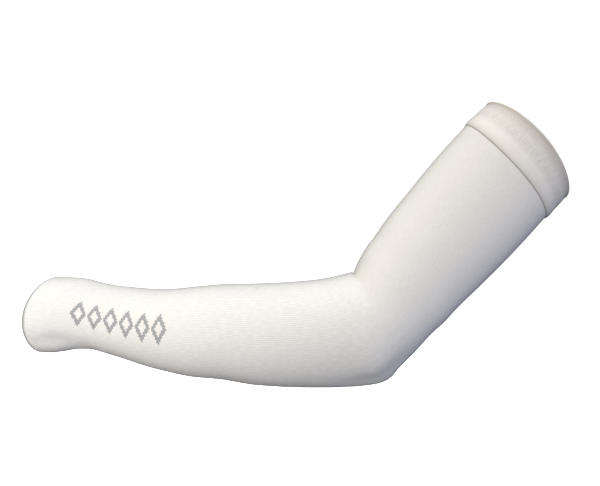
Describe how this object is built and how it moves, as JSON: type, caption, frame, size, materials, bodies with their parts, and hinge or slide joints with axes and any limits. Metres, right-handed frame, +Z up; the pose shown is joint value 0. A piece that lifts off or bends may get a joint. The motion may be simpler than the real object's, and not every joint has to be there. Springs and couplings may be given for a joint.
{
  "type": "arm sleeve",
  "caption": "Knitted sport arm sleeve in its worn form on a bent arm: wrist welt, seamless tube and ribbed biceps band, open at both ends.",
  "frame": {"origin": "centre of the upper mouth of the biceps band, where the arm goes in", "axes": "the arm bends in the XZ plane with +Z up: the forearm runs towards -X, the upper arm rises towards +X, and Y is across the arm"},
  "size_m": [0.3987, 0.0864, 0.2119],
  "materials": {
    "welt_knit": "fine white knit, doubled edge, matt with a soft sheen",
    "body_knit": "fine white stretch knit with wales along the arm, matt with a soft sheen",
    "rib_knit": "off-white ribbed knit, doubled, matt"
  },
  "bodies": {
    "root": {"wrist_welt": "welt_knit", "sleeve_body": "body_knit", "biceps_band": "rib_knit"}
  },
  "joints": []
}
